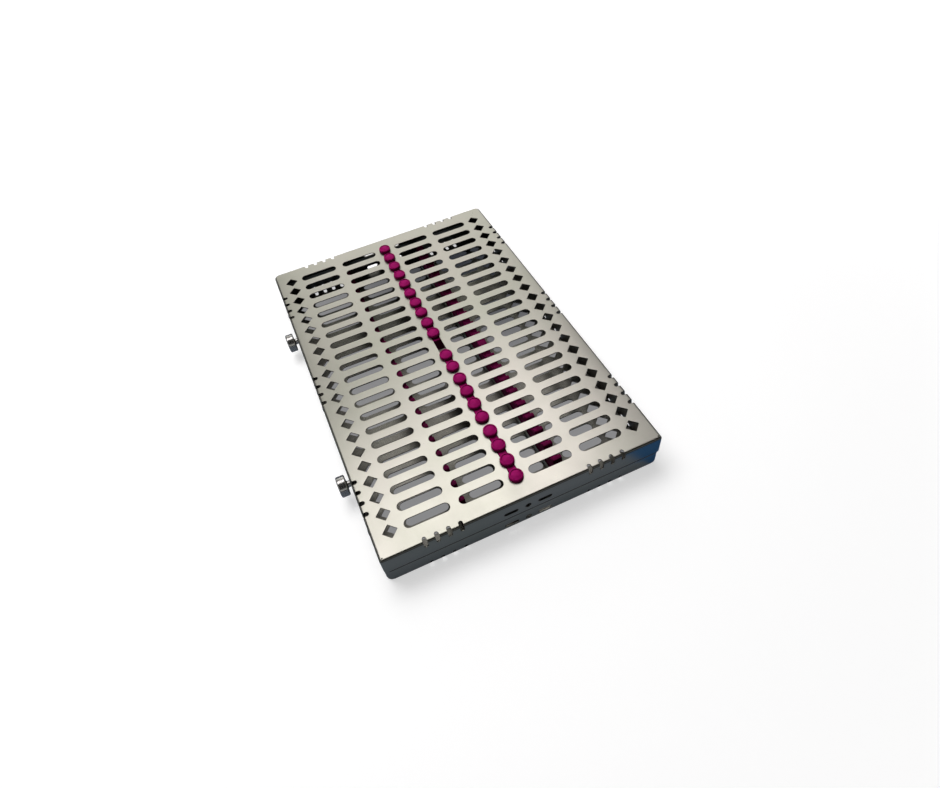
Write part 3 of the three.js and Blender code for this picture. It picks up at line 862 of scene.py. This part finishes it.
def satin_steel():
    """Passivated sheet: cloudy tint, a fine grain and handling marks in its gloss. Painted shade darkens its
    colour under the lid, in corners, in the seam and on the raw punched edges; the bends carry a painted dark
    reflection.
    """
    made, nodes, links, shader = new_material("satin_steel")
    cloud = noise(nodes, links, 0.011, Detail=4.0, Roughness=0.55)
    fleck = noise(nodes, links, 0.45, Detail=5.0, Roughness=0.7)
    mottle = add(nodes, links, cloud, scaled(nodes, links, fleck, -0.10, 0.10))
    tint = ramp(nodes, links, mottle, STEEL_TINTS)
    # The cut attribute marks faces to darken: raw punched edges with painted shade, painted shade in the seam
    # and a painted dark reflection on the bends.
    cut = nodes.new("ShaderNodeAttribute")
    cut.attribute_name = "cut"
    marked_dark = scaled(nodes, links, cut.outputs["Fac"], 1.0, MARKED_TONE)
    # Painted shade from ambient occlusion multiplies in with the darkening of the marked faces.
    tone = add(nodes, links, shade(nodes, links, STEEL_PAINTED_SHADE), marked_dark, "MULTIPLY")
    links.new(darkened(nodes, links, tint, tone), shader.inputs["Base Color"])
    shader.inputs["Metallic"].default_value = 1.0
    grain = noise(nodes, links, 1.0, (3.2, 0.08, 3.2), Detail=3.0)
    marks = noise(nodes, links, 0.05, Detail=6.0, Roughness=0.65)
    base = scaled(nodes, links, marks, *SATIN_ROUGHNESS)
    fine = scaled(nodes, links, grain, -0.03, 0.03)
    links.new(add(nodes, links, base, fine), shader.inputs["Roughness"])
    bump(nodes, links, grain, 0.03, 0.05, shader.inputs["Normal"])
    return made


def polished_steel():
    """Turned and polished steel with fine tool marks."""
    made, nodes, links, shader = new_material("polished_steel")
    shader.inputs["Base Color"].default_value = (*POLISHED_TINT, 1)
    shader.inputs["Metallic"].default_value = 1.0
    rings = noise(nodes, links, 1.0, (6.0, 0.3, 0.3), Detail=2.0)
    smear = noise(nodes, links, 0.35, Detail=4.0)
    links.new(scaled(nodes, links, smear, *POLISHED_ROUGHNESS), shader.inputs["Roughness"])
    bump(nodes, links, rings, 0.08, 0.05, shader.inputs["Normal"])
    return made


def silicone():
    """Matt magenta silicone: a dusty bloom, a fine moulded skin and painted shade where other pieces cover
    it.
    """
    made, nodes, links, shader = new_material("silicone")
    colour = ramp(nodes, links, noise(nodes, links, 0.22, Detail=5.0, Roughness=0.6), SILICONE_TINTS)
    # Painted shade: the colour darkens where ambient occlusion finds cover.
    tone = shade(nodes, links, SILICONE_PAINTED_SHADE)
    links.new(darkened(nodes, links, colour, tone), shader.inputs["Base Color"])
    shader.inputs["Specular IOR Level"].default_value = 0.09
    shader.inputs["Subsurface Weight"].default_value = 0.05
    shader.inputs["Subsurface Radius"].default_value = (0.0012, 0.0002, 0.0005)
    skin = noise(nodes, links, 2.4, Detail=4.0)
    links.new(scaled(nodes, links, skin, *SILICONE_ROUGHNESS), shader.inputs["Roughness"])
    bump(nodes, links, skin, 0.22, 0.06, shader.inputs["Normal"])
    return made


# Studio.

# The white floor, which reflections don't see: its glow near the cassette and far from it, and how far in
# metres. Its half width is in millimetres.
FLOOR_TONE = 0.56
FLOOR_GLOW = (0.57, 1.0)
FLOOR_FADE = (0.25, 1.0)
FLOOR_HALF = 6000
# The grey sheet under the cassette, which only the camera sees, is painted shade that shows through the
# holes:
# its glow under the rear right corner, where it paints deeper shade, and under the rest, and its margin
# inside the case. Two nearly black sheets of painted shade lie lower and reach further out.
UNDER_GLOW = ((0.035, 0.038, 0.045), (0.245, 0.245, 0.25))
UNDER_CENTRE = (0.085, 0.115, 0)
UNDER_FADE = (0.03, 0.16)
UNDER_MARGIN = 7
SHADE_GLOW = 0.006
# The slate table, which only reflections see, and the blue patch that shows in the end wall.
SLATE_GLOW = (0.092, 0.106, 0.130)
SLATE_HALF = 2000
BLUE_GLOW = (0.020, 0.062, 0.150)
BLUE_CENTRE = (0.134, -0.181, 0)
BLUE_FADE = (0.0580, 0.0615)
# How far below the cassette each sheet lies, in millimetres.
UNDER_DEPTH = 0.2
SHADE_DEPTH = 0.3
FLOOR_DEPTH = 0.4
SLATE_DEPTH = 0.8
# The surroundings in reflections: faint, with a lit band that rises and falls at these upward parts of the
# direction, and that is weaker in front of the cassette than behind it.
SURROUND = 0.03
HORIZON = 0.75
BAND_RISE = (0.12, 0.24)
BAND_FALL = (0.32, 0.54)
BAND_TURN = (-0.6, 0.0)
BAND_FRONT = 0.5
TOP_BOX = {"place": (-0.12, 0.46, 1.3), "size": (1.58, 0.68), "glow": 1.68, "tint": (1.0, 0.965, 0.98)}
REAR_BOX = {"place": (0.37, 1.78, 1.3), "size": (1.20, 1.0), "glow": 0.76, "tint": (1.0, 0.99, 0.95)}
MATT_BOX = {"place": (-0.25, 0.45, 1.1), "size": (0.9, 0.7), "glow": 4.9}


def stage_material(name, diffuse):
    """A matt material for the studio, with its nodes, links and shader."""
    made, nodes, links, shader = new_material(name)
    shader.inputs["Base Color"].default_value = (diffuse, diffuse, diffuse, 1)
    shader.inputs["Roughness"].default_value = 1.0
    shader.inputs["Specular IOR Level"].default_value = 0.0
    shader.inputs["Emission Color"].default_value = (1, 1, 1, 1)
    shader.inputs["Emission Strength"].default_value = 1.0
    return made, nodes, links, shader


def eased(nodes, links, source, near, far, low=0.0, high=1.0):
    """A value that eases from low to high as its source goes from near to far."""
    return ranged(nodes, links, source, near, far, low, high, "SMOOTHSTEP")


def from_centre(nodes, links, centre, near, far):
    """A value that rises from 0 to 1 with the distance in metres from a point of the stage."""
    place = nodes.new("ShaderNodeTexCoord")
    span = nodes.new("ShaderNodeVectorMath")
    span.operation = "DISTANCE"
    span.inputs[1].default_value = centre
    links.new(place.outputs["Object"], span.inputs[0])
    return eased(nodes, links, span.outputs["Value"], near, far)


def stage_plane(name, left, right, front, rear, depth, material, seen):
    """A flat sheet of the studio, in millimetres, that only the named kinds of ray meet."""
    bm = bmesh.new()
    corners = [(left, front), (right, front), (right, rear), (left, rear)]
    bm.faces.new([bm.verts.new((x, y, -depth)) for x, y in corners])
    made = object_from(name, bm)
    made.data.materials.append(material)
    for kind in ("camera", "diffuse", "glossy", "transmission", "shadow"):
        setattr(made, "visible_" + kind, kind in seen)


def soft_box(name, place, size, glow, tint=(1.0, 1.0, 1.0)):
    """A rectangular light of an even brightness that faces the cassette."""
    data = bpy.data.lights.new(name, "AREA")
    data.shape = "RECTANGLE"
    data.size, data.size_y = size
    data.energy = glow * math.pi * size[0] * size[1]
    data.color = tint
    made = bpy.data.objects.new(name, data)
    made.location = place
    made.rotation_euler = (-Vector(place)).to_track_quat("-Z", "Y").to_euler()
    bpy.context.scene.collection.objects.link(made)
    return made


def floors():
    """A white floor, a grey and two dark sheets of painted shade under the cassette, a slate table in
    reflections.
    """
    white, nodes, links, shader = stage_material("floor_white", FLOOR_TONE)
    glow = from_centre(nodes, links, (0, 0, 0), *FLOOR_FADE)
    links.new(scaled(nodes, links, glow, *FLOOR_GLOW), shader.inputs["Emission Strength"])
    wide = (-FLOOR_HALF, FLOOR_HALF)
    stage_plane("floor", *wide, *wide, FLOOR_DEPTH, white, ("camera", "shadow"))
    # Painted shade: a grey sheet under the case that the camera sees through the holes, darker under the rear
    # right.
    grey, nodes, links, shader = stage_material("painted_shade_grey", 0.0)
    far = from_centre(nodes, links, UNDER_CENTRE, *UNDER_FADE)
    glow = ramp(nodes, links, far, [(0.0, UNDER_GLOW[0]), (1.0, UNDER_GLOW[1])])
    links.new(glow, shader.inputs["Emission Color"])
    half, end, margin = WIDE / 2, LONG / 2, UNDER_MARGIN
    stage_plane("painted_shade_under", margin - half, half - margin, margin - end, end - margin, UNDER_DEPTH, grey,
                ("camera",))
    # Painted shade: two near-black sheets by the walls, seen through the holes and notches.
    dark, _, _, shader = stage_material("table_shade", 0.0)
    shader.inputs["Emission Strength"].default_value = SHADE_GLOW
    stage_plane("shade_front", 4 - half, half - 4, 1 - end, end - 12, SHADE_DEPTH, dark, ("camera",))
    stage_plane("shade_sides", 1 - half, half, 10 - end, end - 22, SHADE_DEPTH, dark, ("camera",))
    slate, nodes, links, shader = stage_material("table_slate", 0.0)
    edge = from_centre(nodes, links, BLUE_CENTRE, *BLUE_FADE)
    glow = ramp(nodes, links, edge, [(0.0, BLUE_GLOW), (1.0, SLATE_GLOW)])
    links.new(glow, shader.inputs["Emission Color"])
    wide = (-SLATE_HALF, SLATE_HALF)
    stage_plane("table_reflection", *wide, *wide, SLATE_DEPTH, slate, ("glossy",))


def surroundings():
    """White for the camera. For every other ray, faint with a lit band above the horizon."""
    world = bpy.data.worlds.new("surround")
    bpy.context.scene.world = world
    world.use_nodes = True
    nodes, links = world.node_tree.nodes, world.node_tree.links
    place = nodes.new("ShaderNodeTexCoord")
    way = nodes.new("ShaderNodeSeparateXYZ")
    links.new(place.outputs["Generated"], way.inputs["Vector"])
    low = eased(nodes, links, way.outputs["Z"], *BAND_FALL, HORIZON, 0.0)
    raised = eased(nodes, links, way.outputs["Z"], *BAND_RISE)
    behind = eased(nodes, links, way.outputs["Y"], *BAND_TURN, BAND_FRONT, 1.0)
    band = add(nodes, links, add(nodes, links, low, raised, "MULTIPLY"), behind, "MULTIPLY")
    room = add(nodes, links, band, SURROUND)
    path = nodes.new("ShaderNodeLightPath")
    mix = nodes.new("ShaderNodeMix")
    mix.data_type = "FLOAT"
    mix.inputs["B"].default_value = 1.0
    links.new(room, mix.inputs["A"])
    links.new(path.outputs["Is Camera Ray"], mix.inputs["Factor"])
    links.new(mix.outputs["Result"], nodes["Background"].inputs["Strength"])
    nodes["Background"].inputs["Color"].default_value = (1, 1, 1, 1)


def studio():
    """The floors, the surroundings and three soft boxes, of which the matt box gives no reflection."""
    floors()
    surroundings()
    soft_box("top_box", **TOP_BOX)
    soft_box("rear_box", **REAR_BOX)
    soft_box("matt_box", **MATT_BOX).visible_glossy = False


# The camera's azimuth, elevation and roll in degrees, its lens, and its place in metres over the lid.
VIEW = (-17.34, 50.75, -8.28)
SENSOR = 36.0
LENS = 23.92
EYE = (-0.0783, -0.3064, 0.3258)


def camera():
    """The camera looks down on the front left of the cassette."""
    azimuth, elevation, roll = (math.radians(a) for a in VIEW)
    level = math.cos(elevation)
    back = Vector((math.sin(azimuth) * level, -math.cos(azimuth) * level, math.sin(elevation)))
    right = (-back).cross(Vector((0, 0, 1))).normalized()
    up = right.cross(-back)
    tilted = math.cos(roll) * right + math.sin(roll) * up
    upward = -math.sin(roll) * right + math.cos(roll) * up
    data = bpy.data.cameras.new("camera")
    data.sensor_width = SENSOR
    data.lens = LENS
    data.clip_start, data.clip_end = 0.01, 20
    made = bpy.data.objects.new("camera", data)
    made.matrix_world = Matrix((tilted, upward, back)).transposed().to_4x4()
    made.matrix_world.translation = Vector((EYE[0], EYE[1], HEIGHT * MM + EYE[2]))
    bpy.context.scene.collection.objects.link(made)
    bpy.context.scene.camera = made


# Assembly.

MATERIALS = {"satin_steel": satin_steel(), "polished_steel": polished_steel(), "silicone": silicone()}


def assign(piece, body, node, slot):
    """Gives a finished piece its body and its material, and hides the CAD node that it stands in for."""
    piece.data.materials.clear()
    piece.data.materials.append(MATERIALS[slot])
    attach(piece, body)
    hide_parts(node)


assign(lid_sheet(), "lid", "lid_shell", "satin_steel")
assign(base_sheet(), "base", "base_shell", "satin_steel")
assign(lid_strip("strip_rear", 0, MIDDLE - 1), "lid", "lid_strip_rear", "silicone")
assign(lid_strip("strip_front", MIDDLE + 1, ROWS - 1), "lid", "lid_strip_front", "silicone")
for side in ("left", "right"):
    assign(rail("rail_piece_" + side, "rail_" + side), "base", "rail_" + side, "silicone")
    assign(channel("channel_" + side, "rail_channel_" + side), "base", "rail_channel_" + side, "satin_steel")
assign(latch_bar(), "latch", "latch_bar", "satin_steel")
for label, end in (("rear", 1), ("front", -1)):
    handle = knob("knob_" + label, "latch_knob_" + label, end * KNOB_Y)
    assign(handle, "latch", "latch_knob_" + label, "polished_steel")
    assign(keeper("keeper_" + label, "lid_keeper_" + label), "lid", "lid_keeper_" + label, "satin_steel")
    for piece, body, node, slot in hinge(end, label):
        assign(piece, body, node, slot)
for label, end in (("rear", 1), ("middle", 0), ("front", -1)):
    guide = rivet("guide_" + label, "latch_guide_" + label, *GUIDE_SIZE, (0, end * GUIDE_Y, GUIDE_Z))
    assign(guide, "base", "latch_guide_" + label, "polished_steel")

studio()
camera()
bpy.context.scene.view_settings.view_transform = "Standard"
